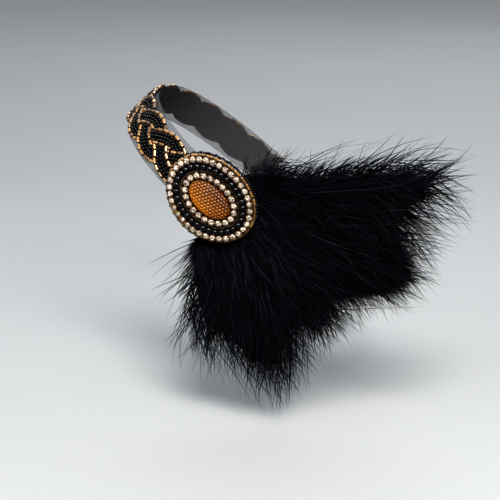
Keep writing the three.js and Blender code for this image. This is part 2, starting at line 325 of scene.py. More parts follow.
def make_fine_wear():
    """Roughness and height of a surface that has been handled: fine, even, never quite smooth."""
    inputs = {"Low": NUMBER, "High": NUMBER, "Scale": NUMBER}
    group, entry, leave = node_group("fine wear", inputs, {"Roughness": NUMBER, "Height": NUMBER})
    grain = noise(group, entry["Scale"], detail=4.0)
    spread = maths(group, "SUBTRACT", entry["High"], entry["Low"])
    rough = maths(group, "MULTIPLY_ADD", grain, spread, entry["Low"])
    set_inputs(group, leave, Roughness=rough, Height=grain)
    return group


def make_weave():
    """Threads of a cloth on its own UV map, which is in metres: their height, and a mask of the gaps."""
    inputs = {"Pitch Along": NUMBER, "Pitch Across": NUMBER, "Thread": NUMBER}
    group, entry, leave = node_group("weave", inputs, {"Height": NUMBER, "Gap": NUMBER})
    uv = group.nodes.new("ShaderNodeUVMap")
    uv.uv_map = "cloth"
    parts = group.nodes.new("ShaderNodeSeparateXYZ")
    group.links.new(uv.outputs["UV"], parts.inputs[0])
    crowns = []
    for axis, pitch in (("X", "Pitch Along"), ("Y", "Pitch Across")):
        turns = maths(group, "DIVIDE", parts.outputs[axis], entry[pitch])
        wave = maths(group, "SINE", maths(group, "MULTIPLY", turns, math.pi))
        crowns.append(maths(group, "ABSOLUTE", wave))
    height = maths(group, "MAXIMUM", *crowns)
    edge = maths(group, "SUBTRACT", 1.0, entry["Thread"])
    set_inputs(group, leave, Height=height, Gap=maths(group, "LESS_THAN", height, edge))
    return group


piece_tone = make_piece_tone()
fine_wear = make_fine_wear()
weave = make_weave()


def placed_group(tree, group, **values):
    node = tree.nodes.new("ShaderNodeGroup")
    node.node_tree = group
    set_inputs(tree, node, **values)
    return node


def bump(tree, shader, height, distance):
    node = tree.nodes.new("ShaderNodeBump")
    set_inputs(tree, node, Height=height, Distance=distance)
    set_inputs(tree, shader, Normal=node.outputs["Normal"])


def new_finish(name, **values):
    """A new material with plain numbers on its shader."""
    material = bpy.data.materials.new(name)
    material.use_nodes = True
    tree = material.node_tree
    shader = tree.nodes["Principled BSDF"]
    set_inputs(tree, shader, **values)
    return material, tree, shader


def worn_finish(name, wear, **values):
    """A new material with fine wear in its gloss, with the height of that wear."""
    material, tree, shader = new_finish(name, **values)
    worn = placed_group(tree, fine_wear, Low=wear[0], High=wear[1], Scale=wear[2])
    set_inputs(tree, shader, Roughness=worn.outputs["Roughness"])
    return material, tree, shader, worn.outputs["Height"]


def toned_finish(name, dark, light, wear, mottle=(0.2, 900.0), bump_depth=0.0, **values):
    """A worn finish whose colour goes by each bead's tone."""
    material, tree, shader, wear_height = worn_finish(name, wear, **values)
    tone = placed_group(
        tree, piece_tone, Dark=(*dark, 1), Light=(*light, 1), Mottle=mottle[0], Mottle_Scale=mottle[1]
    )
    set_inputs(tree, shader, Base_Color=tone.outputs["Color"])
    if bump_depth:
        bump(tree, shader, wear_height, bump_depth)
    return material


def cloth_finish(name, dark, light, pitches, thread, depth, wear, see_through=None, **values):
    """A woven finish: lighter on its threads, darker in its gaps as painted shade, and see-through there
    when asked.
    """
    material, tree, shader, _ = worn_finish(name, wear, **values)
    cloth = placed_group(tree, weave, Pitch_Along=pitches[0], Pitch_Across=pitches[1], Thread=thread)
    height = cloth.outputs["Height"]
    # Colour follows thread height: painted shade darkens the gaps between threads
    set_inputs(tree, shader, Base_Color=colour_mix(tree, height, (*dark, 1), (*light, 1)))
    bump(tree, shader, height, depth)
    if see_through is not None:
        opening = maths(tree, "MULTIPLY", cloth.outputs["Gap"], see_through)
        set_inputs(tree, shader, Alpha=maths(tree, "SUBTRACT", 1.0, opening))
    return material


BLACK_GLASS = ((0.0004, 0.0004, 0.0006), (0.0018, 0.0018, 0.0023), (0.07, 0.12, 1500.0))
black_glass = toned_finish("black glass", *BLACK_GLASS, Specular_IOR_Level=0.12)
bright_black_glass = toned_finish("bright black glass", *BLACK_GLASS, Specular_IOR_Level=0.24)
gold_glass = toned_finish(
    "gold lined glass", (0.018, 0.0075, 0.0022), (0.168, 0.092, 0.027), (0.16, 0.28, 1800.0), (0.4, 600.0),
    bump_depth=0.00002, Metallic=0.4, Coat_Weight=0.35, Coat_Roughness=0.08,
)
brass = toned_finish(
    "brass cup", (0.045, 0.021, 0.0065), (0.185, 0.105, 0.035), (0.22, 0.40, 2500.0), (0.5, 900.0),
    Metallic=0.75,
)
crystal = toned_finish(
    "foiled crystal", (0.025, 0.018, 0.0125), (0.34, 0.288, 0.24), (0.02, 0.06, 900.0), (0.12, 700.0),
    Metallic=0.3, Coat_Weight=0.5, Coat_Roughness=0.02,
)
amber = toned_finish(
    "amber resin", (0.0125, 0.0023, 0.0003), (0.225, 0.08, 0.0014), (0.24, 0.34, 1500.0), (0.3, 450.0),
    Specular_IOR_Level=0.2, Coat_Weight=0.15, Coat_Roughness=0.18,
)
net = cloth_finish(
    "net ribbon", (0.01, 0.01, 0.0115), (0.03, 0.03, 0.033), (0.0009, 0.0009), 0.14, 0.0001,
    (0.6, 0.85, 1500.0), see_through=0.95, Specular_IOR_Level=0.25,
)
elastic_knit = cloth_finish(
    "black elastic", (0.002, 0.002, 0.0025), (0.011, 0.011, 0.0125), (0.0008, 0.0013), 0.6, 0.00015,
    (0.6, 0.85, 1500.0), Specular_IOR_Level=0.25,
)
felt = toned_finish(
    "black felt", (0.0015, 0.0015, 0.0018), (0.006, 0.006, 0.007), (0.85, 0.98, 3000.0), (0.8, 2500.0),
    bump_depth=0.0002, Specular_IOR_Level=0.2,
)
thread = toned_finish(
    "black thread", (0.003, 0.003, 0.004), (0.011, 0.011, 0.013), (0.5, 0.7, 4000.0), Specular_IOR_Level=0.25
)
marabou = toned_finish(
    "black marabou", (0.0004, 0.0006, 0.001), (0.0031, 0.0044, 0.0078), (0.5, 0.7, 300.0), (0.15, 60.0),
    Specular_IOR_Level=0.04,
)

# Camera at the photograph's angle, in the photograph's square frame
CAMERA_AZIMUTH_DEG = 98
CAMERA_ELEVATION_DEG = 13.5
CAMERA_DISTANCE = 0.85
FRAME_PIXELS = 500
FOCAL_PIXELS = 1258
SENSOR_WIDTH_MM = 36
ORIGIN_PIXEL = (254.9, 193.9)


def make_camera():
    azimuth = math.radians(CAMERA_AZIMUTH_DEG)
    elevation = math.radians(CAMERA_ELEVATION_DEG)
    level = math.cos(elevation)
    back = Vector((math.sin(azimuth) * level, -math.cos(azimuth) * level, math.sin(elevation)))
    right = Vector((math.cos(azimuth), math.sin(azimuth), 0))
    up = back.cross(right)
    aside = (FRAME_PIXELS / 2 - ORIGIN_PIXEL[0]) / FOCAL_PIXELS
    above = (ORIGIN_PIXEL[1] - FRAME_PIXELS / 2) / FOCAL_PIXELS
    aim = right * aside + up * above - back
    data = bpy.data.cameras.new("camera")
    data.sensor_width = SENSOR_WIDTH_MM
    data.lens = FOCAL_PIXELS / FRAME_PIXELS * SENSOR_WIDTH_MM
    camera = added("camera", data)
    camera.location = back * CAMERA_DISTANCE
    camera.rotation_mode = "QUATERNION"
    camera.rotation_quaternion = aim.to_track_quat("-Z", "Y")
    bpy.context.scene.camera = camera


def area_light(name, place, target, size, power, colour, roll_deg):
    data = bpy.data.lights.new(name, "AREA")
    data.shape = "RECTANGLE"
    data.size, data.size_y = size
    data.energy = power
    data.color = colour
    light = added(name, data)
    light.location = place
    light.rotation_mode = "QUATERNION"
    aim = (Vector(target) - Vector(place)).to_track_quat("-Z", "Y")
    light.rotation_quaternion = aim @ Quaternion((0, 0, 1), math.radians(roll_deg))


FLOOR_Z = cad_low.z - 15.5 * MM
FLOOR_HALF_SIZE = 7.0
FLOOR_SHADES = ((0.118, 0.121, 0.124, 1), (0.13, 0.133, 0.136, 1))
FLOOR_CLOUD_SCALE = 3.0
SKY_COLOUR = (0.86, 0.90, 0.95, 1)
SKY_STRENGTH = 0.3
EXPOSURE = -0.38
# Place, target, size, power, colour and roll of each light
STUDIO_LIGHTS = {
    "key light": ((0.85, 0.30, 0.95), (0.06, 0.0, 0), (0.85, 0.34), 84, (1.0, 0.97, 0.93), -40),
    "fill light": ((0.8, -0.85, 0.45), (0.06, 0.03, 0), (0.7, 0.7), 7, (0.92, 0.96, 1.0), 0),
    "back light": ((-1.5, 0.25, 1.3), (-0.6, 0.1, -0.1), (1.6, 1.6), 28, (0.95, 0.98, 1.0), 0),
    "ceiling light": ((0, 0, 3.0), (0, 0, 0), (16, 16), 1440, (0.95, 0.98, 1.0), 0),
}


def make_floor():
    """A plain pale floor."""
    sheet = bmesh.new()
    bmesh.ops.create_grid(sheet, x_segments=2, y_segments=2, size=FLOOR_HALF_SIZE)
    bmesh.ops.translate(sheet, verts=sheet.verts, vec=(0, 0, FLOOR_Z))
    mesh = bpy.data.meshes.new("floor")
    sheet.to_mesh(mesh)
    sheet.free()
    material, tree, shader = new_finish("pale floor", Roughness=0.8, Specular_IOR_Level=0.2)
    clouds = noise(tree, FLOOR_CLOUD_SCALE)
    set_inputs(tree, shader, Base_Color=colour_mix(tree, clouds, *FLOOR_SHADES))
    mesh.materials.append(material)
    floor = added("floor", mesh)


def make_studio():
    """A dim sky, a soft key light from the upper front, a fill, one from behind and a wide ceiling light."""
    world = bpy.data.worlds.new("studio")
    world.use_nodes = True
    background = world.node_tree.nodes["Background"]
    set_inputs(world.node_tree, background, Color=SKY_COLOUR, Strength=SKY_STRENGTH)
    bpy.context.scene.world = world
    view = bpy.context.scene.view_settings
    view.view_transform = "Standard"
    view.look = "High Contrast"
    view.exposure = EXPOSURE
    for name, values in STUDIO_LIGHTS.items():
        area_light(name, *values)


make_camera()
make_floor()
make_studio()

# Bead shapes, each threaded along X. Profiles are shares of the half length and of the radius
SEED_PROFILE = ((0.82, 0.62), (0.44, 0.91))
BUGLE_END_SHARE = 0.8
BUGLE_ROUNDING = 0.3
BUGLE_BODY_SHARE = 0.66
# Share of its tone left at a bugle's ends: painted shade in the gaps between beads
BUGLE_END_SHADE = 0.1
BEAD_SIDES = 8
WELD_DISTANCE = 1e-4


def spun(points, axis, steps):
    """A bmesh ring, turned about an axis through the origin from the points of a closed profile."""
    shape = bmesh.new()
    rim = [shape.verts.new(point) for point in points]
    edges = [shape.edges.new((rim[i], rim[(i + 1) % len(rim)])) for i in range(len(rim))]
    bmesh.ops.spin(
        shape, geom=rim + edges, cent=(0, 0, 0), axis=axis, angle=2 * math.pi, steps=steps, use_merge=True
    )
    bmesh.ops.remove_doubles(shape, verts=shape.verts, dist=WELD_DISTANCE)
    return shape


def turned_bead(profile, sides):
    """A ring turned about X from a closed profile of place along the hole and radius."""
    return closed_arrays(spun([(x, 0, radius) for x, radius in profile], (1, 0, 0), sides))


def mirrored(half, middle=()):
    """A whole profile from the half that runs from one end to the middle."""
    return [(-x, radius) for x, radius in half] + list(middle) + half[::-1]


def seed_bead(radius, half_length, hole, sides=BEAD_SIDES):
    half = [(half_length, hole)] + [(half_length * along, radius * share) for along, share in SEED_PROFILE]
    return turned_bead(mirrored(half, [(0, radius)]), sides)


def bugle_bead(radius, half_length, hole):
    rounded = half_length - radius * BUGLE_ROUNDING
    body = half_length * BUGLE_BODY_SHARE
    half = [(half_length, hole), (half_length, radius * BUGLE_END_SHARE), (rounded, radius), (body, radius)]
    return turned_bead(mirrored(half), BEAD_SIDES)


def bead_tones(shape, values):
    return np.repeat(values, len(shape[0]))


def bugle_tones(shape, values):
    """Each bugle's tone, darker at both ends: painted shade where the beads meet."""
    reach = np.abs(shape[0][:, 0]) / np.abs(shape[0][:, 0]).max()
    fade = np.interp(reach, (BUGLE_BODY_SHARE, 1), (1, BUGLE_END_SHADE))
    return (values[:, None] * fade).ravel()


def laid(lay, arrays):
    """Flat arrays laid on the band or the medallion."""
    return lay(arrays[0]), *arrays[1:]


def scattered(shape, centres, turns, spread, rng):
    """Seed beads sewn by hand, each a little off in place, turn, size and pitch, with their tones."""
    count = len(centres)
    centres = centres + rng.normal(0, spread["place"], centres.shape)
    turns = turns + rng.normal(0, spread["turn"], count)
    scales = rng.normal(1, spread["size"], (count, 3))
    arrays = copies(shape, centres, turns, scales, rng.normal(0, spread["pitch"], count))
    return arrays, bead_tones(shape, rng.uniform(0, 1, count))


def strung(shape, centres, turns, scales, spread, rng):
    """Beads on a string, each a little off in turn and pitch."""
    turns = turns + rng.normal(0, spread["turn"], len(centres))
    return copies(shape, centres, turns, scales, rng.normal(0, spread["pitch"], len(centres)))


# Plait of three strands: three rows of black seed beads, with a row of gold bugles along each side
# Each bead's radius, half length and hole
PLAIT_SEED = (1.1, 1.03, 0.4)
SEED_PITCH = 2.36
SEED_ROWS = (-2.2, 0, 2.2)
SEED_CROWN = 0.3
SEED_MARGIN = -0.7
SEED_SPREAD = {"place": 0.05, "turn": 0.1, "size": 0.05, "pitch": 0.12}
PLAIT_BUGLE = (1.16, 1.98, 0.45)
BUGLE_PITCH = 4.75
BUGLE_ROWS = (-4.2, 4.2)
BUGLE_RISE = 0.25
BUGLE_MARGIN = -0.3
BUGLE_SPREAD = {"place": 0.1, "turn": 0.05, "sizes": (0.04, 0.05, 0.05), "pitch": 0.05}
BUGLE_TONES = (1.8, 1.5)
FIRST_BEAD_SHARES = (0.3, 0.9)
STRAND_SAMPLES = 2400
COVER_STEP = 4


def strand_slope(phase):
    return 2 * np.pi * PLAIT_SWING / PLAIT_PERIOD * np.cos(phase)


def strand_line(turn, offset):
    """Points along a strand at an offset from its middle, with the phase at each."""
    x = np.linspace(*PLAIT_ENDS, STRAND_SAMPLES)
    phase = 2 * np.pi * ((x + PLAIT_SHIFT) / PLAIT_PERIOD + turn)
    slope = strand_slope(phase)
    length = np.hypot(slope, 1)
    line = np.stack([x - slope / length * offset, PLAIT_SWING * np.sin(phase) + offset / length], -1)
    return line, phase


def spaced(line, pitch, start):
    """Places at even distances along a line, counted in its samples."""
    lengths = lengths_along(line)
    wanted = np.arange(start, lengths[-1] - pitch / 2, pitch)
    return np.interp(wanted, lengths, np.arange(len(line)))


def covered(spots, phases, turn, margin):
    """Which spots of a strand lie under another strand."""
    hidden = np.zeros(len(spots), bool)
    for other in range(STRAND_COUNT):
        other_turn = other / STRAND_COUNT
        if other_turn == turn:
            continue
        line, other_phase = strand_line(other_turn, 0)
        distances = np.linalg.norm(spots[:, None] - line[None, ::COVER_STEP], axis=2)
        nearest = distances.argmin(1)
        above = np.sin(2 * other_phase[::COVER_STEP][nearest]) > np.sin(2 * phases)
        hidden |= above & (distances.min(1) < STRAND_HALF_WIDTH + margin)
    return hidden


def strand_row(turn, offset, pitch, rise, margin, rng):
    """Centres and turns of the beads of one row of a strand that aren't covered by another strand."""
    line, phase = strand_line(turn, offset)
    places = spaced(line, pitch, rng.uniform(*FIRST_BEAD_SHARES) * pitch)
    samples = np.arange(len(line))

    def on_line(at):
        return np.stack([np.interp(at, samples, line[:, axis]) for axis in (0, 1)], -1)

    spots = on_line(places)
    way = on_line(places + 1) - on_line(places - 1)
    phases = np.interp(places, samples, phase)
    kept = ~covered(spots, phases, turn, margin)
    height = PLAIT_MIDDLE + rise + STRAND_LIFT * np.sin(2 * phases)
    centres = np.column_stack([spots, height])
    return centres[kept], np.arctan2(way[:, 1], way[:, 0])[kept]


def make_plait():
    rng = np.random.default_rng(11)
    seeds, bugles = [], []
    for strand in range(STRAND_COUNT):
        turn = strand / STRAND_COUNT
        for offset in SEED_ROWS:
            rise = SEED_CROWN * (1 - abs(offset) / max(SEED_ROWS))
            seeds.append(strand_row(turn, offset, SEED_PITCH, rise, SEED_MARGIN, rng))
        for offset in BUGLE_ROWS:
            bugles.append(strand_row(turn, offset, BUGLE_PITCH, BUGLE_RISE, BUGLE_MARGIN, rng))
    shape = seed_bead(*PLAIT_SEED)
    centres, turns = (np.concatenate(values) for values in zip(*seeds))
    arrays, tones = scattered(shape, centres, turns, SEED_SPREAD, rng)
    placed = laid(on_band, arrays)
    piece("plait_seed_beads", placed, black_glass, "black_beads", "bead_plait", smooth=80, tones=tones)
    shape = bugle_bead(*PLAIT_BUGLE)
    centres, turns = (np.concatenate(values) for values in zip(*bugles))
    count = len(centres)
    centres = centres + rng.normal(0, BUGLE_SPREAD["place"], centres.shape)
    scales = np.column_stack([rng.normal(1, size, count) for size in BUGLE_SPREAD["sizes"]])
    placed = laid(on_band, strung(shape, centres, turns, scales, BUGLE_SPREAD, rng))
    tones = bugle_tones(shape, rng.beta(*BUGLE_TONES, count))
    piece("plait_bugles", placed, gold_glass, "gold_bugles", "bead_plait", smooth=50, tones=tones)


make_plait()

GROUND_HALF_WIDTH = 4.9
GROUND_DROP = 0.8
GROUND_CELLS = (220, 2)
GROUND_TONES = (0, 0.6)


def make_plait_ground():
    """Sewing thread under the beads of each strand, seen only in the chinks between them: a dark sheet that
    is partly the thread and partly painted shade down between the beads.
    """
    parts = []
    samples = np.arange(STRAND_SAMPLES)
    for strand in range(STRAND_COUNT):
        points, corners, sizes = flat_grid(*GROUND_CELLS)
        line, phase = strand_line(strand / STRAND_COUNT, 0)
        at = (points[:, 0] + 1) / 2 * (STRAND_SAMPLES - 1)
        x, y, turn = (np.interp(at, samples, values) for values in (line[:, 0], line[:, 1], phase))
        slope = strand_slope(turn)
        aside = points[:, 1] * GROUND_HALF_WIDTH / np.hypot(slope, 1)
        z = PLAIT_MIDDLE - GROUND_DROP + STRAND_LIFT * np.sin(2 * turn)
        parts.append((np.column_stack([x - slope * aside, y + aside, z]), corners, sizes))
    ground = joined(*parts)
    tones = np.random.default_rng(12).uniform(*GROUND_TONES, len(ground[0]))
    placed = laid(on_band, ground)
    piece("plait_thread_and_shade_ground", placed, thread, "black_beads", "bead_plait", smooth=180, tones=tones)


make_plait_ground()

# Medallion rows, in the flat, with the medallion's centre at the origin
OVAL_SAMPLES = 3600


def oval_points(halves, angle):
    return np.stack([halves[0] * np.cos(angle), halves[1] * np.sin(angle)], -1)


def oval_row(halves, count, start=0.0):
    """Even places along an oval, with the direction of the row at each."""
    angle = np.linspace(0, 2 * np.pi, OVAL_SAMPLES + 1)
    lengths = lengths_along(oval_points(halves, angle))
    wanted = (np.arange(count) + start) * lengths[-1] / count
    at = np.interp(np.mod(wanted, lengths[-1]), lengths, angle)
    turns = np.arctan2(halves[1] * np.cos(at), -halves[0] * np.sin(at))
    return oval_points(halves, at), turns


PICOT_COUNT = 37
PICOT_BEADS = 3
PICOT_RISE = 0.4
PICOT_LIFT = 0.25
EDGING_SEED = (1.0, 0.82, 0.34)
EDGING_SPREAD = {"place": 0.08, "turn": 0.1, "size": 0.05, "pitch": 0.1}


def make_edging():
    """Black seed beads sewn over the medallion's edge in threes, the middle one of each standing out."""
    count = PICOT_COUNT * PICOT_BEADS
    spots, turns = oval_row(EDGING_OVAL, count)
    middle = np.arange(count) % PICOT_BEADS == 1
    outward = np.stack([np.sin(turns), -np.cos(turns)], -1)
    spots = spots + outward * (middle * PICOT_RISE)[:, None] + (0, EDGING_RISE)
    centres = np.column_stack([spots, EDGING_MIDDLE + PICOT_LIFT * middle])
    shape = seed_bead(*EDGING_SEED)
    arrays, tones = scattered(shape, centres, turns, EDGING_SPREAD, np.random.default_rng(21))
    placed = laid(on_medallion, arrays)
    piece("edging_seed_beads", placed, black_glass, "black_beads", "seed_edging", smooth=80, tones=tones)


BUGLE_RINGS = (
    {"name": "outer_bugles", "node": "bugle_ring_outer", "seed": 22, "bead": (1.02, 2.15, 0.51),
     "oval": OUTER_BUGLE_OVAL, "count": 34, "height": OUTER_BUGLE_MIDDLE, "aside": OUTER_ROWS_RISE,
     "place": 0.06, "flatness": 1, "tones": (2.2, 1.1)},
    {"name": "inner_bugles", "node": "bugle_ring_inner", "seed": 23, "bead": (0.42, 1.95, 0.21),
     "oval": INNER_BUGLE_OVAL, "count": 26, "height": INNER_BUGLE_MIDDLE, "aside": 0,
     "place": 0.06, "flatness": 1, "tones": (1.2, 6.0)},
)
BLACK_BEAD_RADIUS = 1.85
BLACK_BEAD_LENGTH_SHARE = 0.97
BLACK_BEAD_ARC = (0.12, 0.88, 7)
BLACK_BEAD_SIDES = 12
BLACK_RING = {
    "oval": BLACK_BEAD_OVAL, "count": 32, "height": ROW_FLOOR + BLACK_BEAD_RADIUS, "aside": 0, "place": 0.05,
    "flatness": 0.85, "tones": (1.6, 1.8),
}
RING_SPREAD = {"turn": 0.05, "size": 0.03, "pitch": 0.04}


def round_bead():
    arc = np.linspace(*BLACK_BEAD_ARC) * math.pi
    half_length = BLACK_BEAD_RADIUS * BLACK_BEAD_LENGTH_SHARE
    profile = [(-half_length * math.cos(a), BLACK_BEAD_RADIUS * math.sin(a)) for a in arc]
    return turned_bead(profile, BLACK_BEAD_SIDES)


def bead_ring(ring, shape, rng):
    """Beads strung round an oval of the medallion."""
    count = ring["count"]
    spots, turns = oval_row(ring["oval"], count)
    centres = np.column_stack([spots + (0, ring["aside"]), np.full(count, ring["height"])])
    centres = centres + rng.normal(0, ring["place"], (count, 3))
    scales = rng.normal(1, RING_SPREAD["size"], (count, 3)) * (1, 1, ring["flatness"])
    return laid(on_medallion, strung(shape, centres, turns, scales, RING_SPREAD, rng))


def make_bead_rings():
    for ring in BUGLE_RINGS:
        rng = np.random.default_rng(ring["seed"])
        shape = bugle_bead(*ring["bead"])
        placed = bead_ring(ring, shape, rng)
        tones = bugle_tones(shape, rng.beta(*ring["tones"], ring["count"]))
        piece(ring["name"], placed, gold_glass, "gold_bugles", ring["node"], smooth=50, tones=tones)
    rng = np.random.default_rng(24)
    shape = round_bead()
    placed = bead_ring(BLACK_RING, shape, rng)
    tones = bead_tones(shape, rng.beta(*BLACK_RING["tones"], BLACK_RING["count"]))
    piece(
        "round_black_beads", placed, bright_black_glass, "black_beads", "black_bead_ring",
        smooth=50, tones=tones,
    )


make_edging()
make_bead_rings()

# Stones in their cups. A stone's rings of points: count, eighths of a turn, share of the radius, height
STONE_RINGS = ((16, 0, 1.0, 1.7), (8, 0.5, 0.82, 2.25), (8, 0, 0.52, 2.8))
STONE_POINT = 0.35
STONE_FILL = 0.93
STONE_SPIN = 0.4
STONE_PITCH_SPREAD = 0.05
STONE_PAINTED_SPARKLE = (0.5, 0.5)
OUTER_STONE_COUNT = 36
INNER_STONE_COUNT = 21
CUP_TOP = 1.85
CUP_OUTSIDE = ((0.8, 0.05), (0.97, 0.2), (1, CUP_TOP - 0.25), (0.97, CUP_TOP))
CUP_INSIDE = ((1.01, CUP_TOP - 0.08), (0.9, 0.6))
CUP_SIDES = 12
CUP_FILL = 0.985
CUP_TONES = (2, 2)
LINK_SIZE = (1.3, 1.5, 1.1)
LINK_BEVEL = 0.2
LINK_DROP = 0.3
LINK_TONES = (1.5, 3)
PRONG_COUNT = 4
PRONG_SIZE = (0.55, 0.62, 0.5)
PRONG_TIP_RISE = 0.22
PRONG_TIP_SHARE = 0.6
PRONG_PLACE = 0.98
PRONG_LIFT = 0.02


def turn_about_z(shape, verts, angle):
    bmesh.ops.rotate(shape, verts=verts, cent=(0, 0, 0), matrix=Matrix.Rotation(angle, 3, "Z"))


def faceted_stone(radius):
    """A cut stone: rings of points from the girdle to the table and one below, joined by their hull."""
    shape = bmesh.new()
    for segments, turn, share, height in STONE_RINGS:
        rim = bmesh.ops.create_circle(shape, segments=segments, radius=radius * share)["verts"]
        turn_about_z(shape, rim, turn * math.pi / 4)
        bmesh.ops.translate(shape, verts=rim, vec=(0, 0, height))
    shape.verts.new((0, 0, STONE_POINT))
    bmesh.ops.convex_hull(shape, input=shape.verts)
    return closed_arrays(shape)


def stone_cup(radius, stone_radius):
    """A cup with a rolled lip and four prongs bent over the stone."""
    outside = [(radius * share, 0, height) for share, height in CUP_OUTSIDE]
    inside = [(stone_radius * share, 0, height) for share, height in CUP_INSIDE]
    shape = spun(outside + inside, (0, 0, 1), CUP_SIDES)
    for i in range(PRONG_COUNT):
        prong = bmesh.ops.create_cube(shape, size=1)["verts"]
        bmesh.ops.scale(shape, verts=prong, vec=PRONG_SIZE)
        for vertex in prong:
            if vertex.co.x < 0 and vertex.co.z > 0:
                vertex.co.z += PRONG_TIP_RISE
                vertex.co.y *= PRONG_TIP_SHARE
        bmesh.ops.translate(shape, verts=prong, vec=(stone_radius * PRONG_PLACE, 0, CUP_TOP + PRONG_LIFT))
        turn_about_z(shape, prong, (i + 0.5) * 2 * math.pi / PRONG_COUNT)
    return closed_arrays(shape)


def chain_link():
    """The bar between two cups of the chain."""
    shape = bmesh.new()
    bmesh.ops.create_cube(shape, size=1)
    bmesh.ops.scale(shape, verts=shape.verts, vec=LINK_SIZE)
    bmesh.ops.bevel(
        shape, geom=shape.edges, offset=LINK_BEVEL, affect="EDGES", segments=1, profile=0.5, material=-1
    )
    return shape_arrays(shape)


TIP_DEG = 35
TIP_SINK = 1.0
TIP_SHIFT = 0.7
TIP_ALONG = (-22, 6)
TIP_ACROSS = (-10, -19)
TIP_EASE = 9


def eased(share):
    share = np.clip(share, 0, 1)
    return share * share * (3 - 2 * share)


def tipped_share(spots):
    """How far each stone is turned outwards: those of the lower edge are, where it curves in to the loop."""
    along, across = spots[:, 0], spots[:, 1]
    low = eased((TIP_ACROSS[0] - across) / (TIP_ACROSS[0] - TIP_ACROSS[1]))
    started = eased((along - TIP_ALONG[0]) / TIP_EASE)
    ended = eased((TIP_ALONG[1] - along) / TIP_EASE)
    return low * started * ended


def stone_ring(prefix, halves, count, node, seed, tips=False):
    """A ring of cup chain: cups and links as one piece, and its stones as another."""
    rng = np.random.default_rng(seed)
    spots, turns = oval_row(halves, count)
    around = np.linalg.norm(np.diff(np.vstack([spots, spots[:1]]), axis=0), axis=1).mean()
    tip = tipped_share(spots) if tips else np.zeros(count)
    inward = turns + math.pi / 2
    cup_radius = around / 2 * CUP_FILL
    stone_radius = cup_radius * STONE_FILL
    centres = np.column_stack([spots, ROW_FLOOR - TIP_SINK * tip])
    centres[:, 1] += TIP_SHIFT * tip
    pitches = -math.radians(TIP_DEG) * tip
    cup = stone_cup(cup_radius, stone_radius)
    link = chain_link()
    link_spots, link_turns = oval_row(halves, count, 0.5)
    link_height = ROW_FLOOR + CUP_TOP - LINK_SIZE[2] / 2 - LINK_DROP
    link_centres = np.column_stack([link_spots, np.full(count, link_height)])
    arrays = joined(copies(cup, centres, inward, None, pitches), copies(link, link_centres, link_turns))
    cup_tones = bead_tones(cup, rng.beta(*CUP_TONES, count))
    link_tones = bead_tones(link, rng.beta(*LINK_TONES, count))
    tones = np.concatenate([cup_tones, link_tones])
    piece(prefix + "_cups", laid(on_medallion, arrays), brass, "gold_bugles", node, smooth=40, tones=tones)
    stone = faceted_stone(stone_radius)
    spins = inward + rng.uniform(-STONE_SPIN, STONE_SPIN, count)
    tilts = pitches + rng.normal(0, STONE_PITCH_SPREAD, count)
    placed = laid(on_medallion, copies(stone, centres, spins, None, tilts))
    # Each facet painted a random shade, mostly near dark or light: painted glints and reflections of the cut
    # stone
    tones = rng.beta(*STONE_PAINTED_SPARKLE, len(placed[2]))
    piece(prefix + "_stones", placed, crystal, "crystal", node, tones=tones, tone_domain="FACE")


stone_ring("outer", OUTER_STONE_OVAL, OUTER_STONE_COUNT, "rhinestone_ring_outer", 31, tips=True)
stone_ring("inner", INNER_STONE_OVAL, INNER_STONE_COUNT, "rhinestone_ring_inner", 32)

# Cabochon: an oval dome moulded with rows of small domes, smoother towards its lower side, with painted
# light in its tones
BUMP_ROW = 1.9
BUMP_STEP = 2.1
BUMP_RADIUS = 1.0
BUMP_HEIGHT = 0.72
BUMP_SINK = BUMP_HEIGHT * 0.6
BUMP_FADE = 0.06
DOME_REACH = (0, 0.5, 0.72, 0.86, 0.95, 1)
DOME_RISE = (1, 0.94, 0.82, 0.66, 0.48, 0.3)
LOW_SIDE_SLANT = 0.2
SMOOTHING_START = 1.9
SMOOTHING_RATE = 1.8
LEAST_BUMP = 0.35
# Painted light in the cabochon's tones: a base, painted highlight on the small domes with painted shade
# between them, and a painted glow on the lower side, strongest at its rim
CABOCHON_PAINTED_LIGHT = {"ground": 0.12, "dome": 0.32, "low_side": 0.24, "edge": 0.9}
PAINTED_GLOW_EDGE_START = 0.4
GLOW_SPREAD = 0.02
CABOCHON_CELLS = (190, 124)


def oval_from_square(points, halves):
    """The square of a flat grid drawn in to an oval."""
    x, y = points[:, 0], points[:, 1]
    return np.stack([halves[0] * x * np.sqrt(1 - y * y / 2), halves[1] * y * np.sqrt(1 - x * x / 2)], -1)


def medallion_out():
    """Direction out of the medallion's middle."""
    ends = on_medallion(np.array([[0, 0, 0], [0, 0, 1.0]]))
    return Vector(unit(ends[1] - ends[0]))


def close_below(made, depth):
    """Carries an open dome's rim straight down and closes it with a floor."""
    shell = bmesh.new()
    shell.from_mesh(made.data)
    rim = [edge for edge in shell.edges if edge.is_boundary]
    raised = bmesh.ops.extrude_edge_only(shell, edges=rim)["geom"]
    foot = [item for item in raised if isinstance(item, bmesh.types.BMVert)]
    bmesh.ops.translate(shell, verts=foot, vec=-medallion_out() * depth * MM)
    bmesh.ops.contextual_create(shell, geom=[edge for edge in shell.edges if edge.is_boundary])
    bmesh.ops.recalc_face_normals(shell, faces=shell.faces)
    shell.to_mesh(made.data)
    shell.free()


